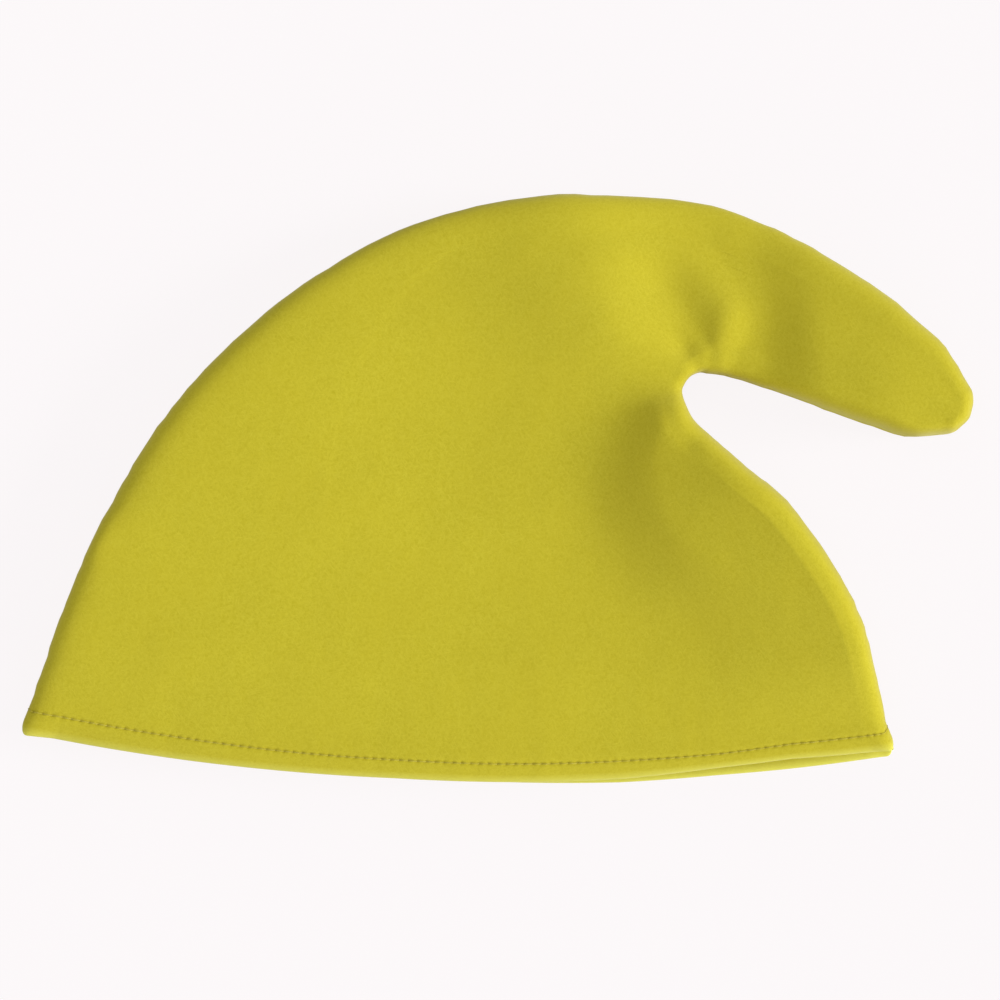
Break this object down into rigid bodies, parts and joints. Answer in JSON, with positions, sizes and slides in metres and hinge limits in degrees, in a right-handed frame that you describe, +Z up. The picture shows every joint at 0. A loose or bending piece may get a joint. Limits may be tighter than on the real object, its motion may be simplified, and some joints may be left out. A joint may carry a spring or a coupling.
{
  "type": "gnome hat",
  "caption": "Soft felt hat of two panels with a forward-curled horn, hemmed at an open mouth, lying on its side.",
  "frame": {"origin": "on the floor, under the middle of the lying hat's bounding box", "axes": "+X along the hem towards the front, where the horn points, -Y out of the mouth, +Z up from the floor"},
  "size_m": [0.328, 0.2034, 0.033],
  "materials": {
    "felt": "matt, lightly napped polyester felt"
  },
  "bodies": {
    "root": {"upper_panel": "felt", "under_panel": "felt"}
  },
  "joints": []
}
